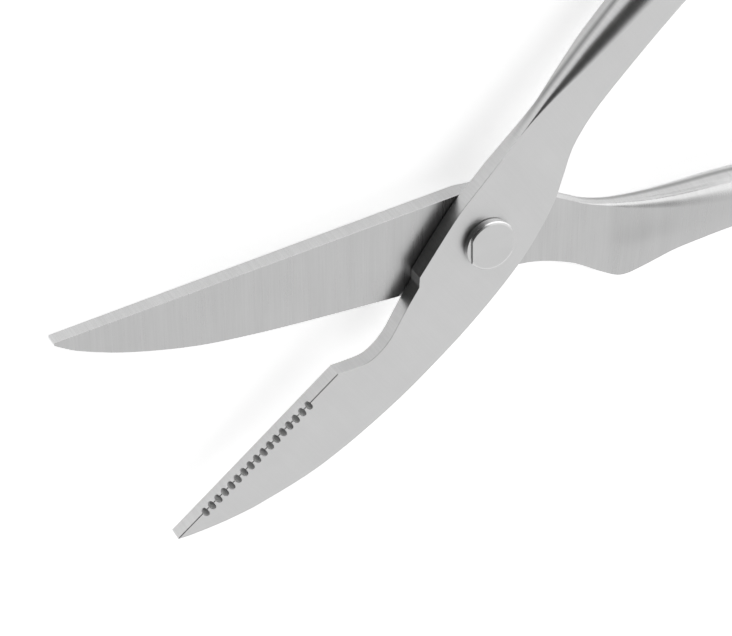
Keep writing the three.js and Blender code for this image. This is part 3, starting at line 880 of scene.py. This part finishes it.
def make_light():
    """A white studio, bright nearly all round, with one dark area that the arms' front faces reflect."""
    world = bpy.data.worlds.new("studio")
    world.use_nodes = True
    nodes, links = world.node_tree.nodes, world.node_tree.links
    direction = nodes.new("ShaderNodeTexCoord").outputs["Generated"]

    def panel(toward, inner, outer, inside, outside):
        """One value inside a cone and another outside it, blended between the two angles."""
        dot = nodes.new("ShaderNodeVectorMath")
        dot.operation = "DOT_PRODUCT"
        dot.inputs[1].default_value = toward
        links.new(direction, dot.inputs[0])
        blend = nodes.new("ShaderNodeMapRange")
        blend.interpolation_type = "SMOOTHSTEP"
        limits = (math.cos(math.radians(outer)), math.cos(math.radians(inner)), outside, inside)
        for key, number in zip(("From Min", "From Max", "To Min", "To Max"), limits):
            blend.inputs[key].default_value = number
        links.new(dot.outputs["Value"], blend.inputs["Value"])
        return blend.outputs["Result"]

    def combine(operation, a, b):
        node = nodes.new("ShaderNodeMath")
        node.operation = operation
        links.new(a, node.inputs[0])
        links.new(b, node.inputs[1])
        return node.outputs["Value"]

    walls = panel(heading(-72, 48), inner=12, outer=48, inside=1.0, outside=1.25)
    patch = panel(heading(40, 26), inner=24, outer=54, inside=0.22, outside=0.0)
    dark = panel(heading(140, 46), inner=45, outer=64, inside=0.035, outside=1.0)
    light = combine("MULTIPLY", combine("ADD", walls, patch), dark)
    links.new(light, nodes["Background"].inputs["Strength"])
    nodes["Background"].inputs["Color"].default_value = (1, 1, 1, 1)
    bpy.context.scene.world = world
    bpy.context.scene.view_settings.view_transform = "Standard"


def make_table():
    bpy.ops.mesh.primitive_plane_add(size=4, location=(0, 0, 0))
    table = bpy.context.object
    table.name = "table_top"
    table.data.materials.append(table_paper())


# ---- Assembly ----

make_camera()
make_light()
make_table()

# Painted light at these calls: gleam paints each piece's sides lighter than its faces, darker where it is
# below 0, and parting paints a dark line that stands for the table's shadow reflected in the handles' sides.
FRONT_STEEL = brushed("front_arm_steel", shade=204, rough=0.38, turn=OPENING / 2, contrast=0.22,
                      polish=0.05, painted_side_light=-0.08, reflected_shadow=(0.5, 2.05, -0.056))
REAR_STEEL = brushed("rear_arm_steel", shade=190, rough=0.30, turn=-OPENING / 2, contrast=0.7,
                     polish=0.1, painted_side_light=0.08, reflected_shadow=(0.45, -3.0, 0.05))
# The scallop holes get a lighter, partly matt copy of the arm's steel: painted light that lifts the shade
# inside them.
HOLE_STEEL = brushed("hole_steel_lightened", shade=196, rough=0.5, turn=OPENING / 2, metal=0.3)
PIVOT_STEEL = brushed("pivot_steel_turned", shade=198, rough=0.22, turn=0.9, contrast=0.08, painted_side_light=0.25)
PIN_STEEL = brushed("pin_steel_turned", shade=205, rough=0.28)
HOOK_STEEL = brushed("hook_steel_forged", shade=200, rough=0.3, turn=OPENING / 2)
SPRING_STEEL = brushed("spring_steel_drawn", shade=165, rough=0.35)
BRONZE = brushed("washer_bronze_pressed", shade=190, rough=0.4, tint=(1.0, 0.72, 0.42))


def dress(piece, body, slot, materials, *nodes):
    """Paints a piece and says its body and the CAD nodes that it replaces. slot, its material slot, is not
    used.
    """
    paint(piece, *materials)
    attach(piece, body)
    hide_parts(*nodes)


dress(make_front_arm(), "front_half", "satin_steel", (FRONT_STEEL, HOLE_STEEL), "front_arm")
dress(make_rear_arm(), "rear_half", "blade_steel", (REAR_STEEL,), "rear_arm")
dress(make_screw(), "rear_half", "pivot_steel", (PIVOT_STEEL,), "pivot_screw")
dress(make_nut(), "rear_half", "pivot_steel", (PIVOT_STEEL,), "pivot_nut")
dress(make_pin("hook_pin_domed", FRONT, HOOK_PIVOT), "front_half", "pin_steel", (PIN_STEEL,), "hook_pin")
dress(make_pin("catch_pin_domed", REAR, CATCH), "rear_half", "pin_steel", (PIN_STEEL,), "catch_pin")
dress(make_hook(), "lock", "hook_steel", (HOOK_STEEL,), "lock_hook")
for side, node in ((1, "hook_washer_front"), (-1, "hook_washer_back")):
    dress(make_washer(node + "_pressed", side), "front_half", "washer_bronze", (BRONZE,), node)

spring = make_spring()
paint(spring, SPRING_STEEL)
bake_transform(spring)
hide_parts("torsion_spring")

for name, material in (("spring_washer", SPRING_STEEL), ("stop_pin", PIN_STEEL)):
    node = frame["nodes"][name]
    node.data.materials.clear()
    paint(node, material)
    node.data.shade_smooth()
    node.data.set_sharp_from_angle(angle=math.radians(40))
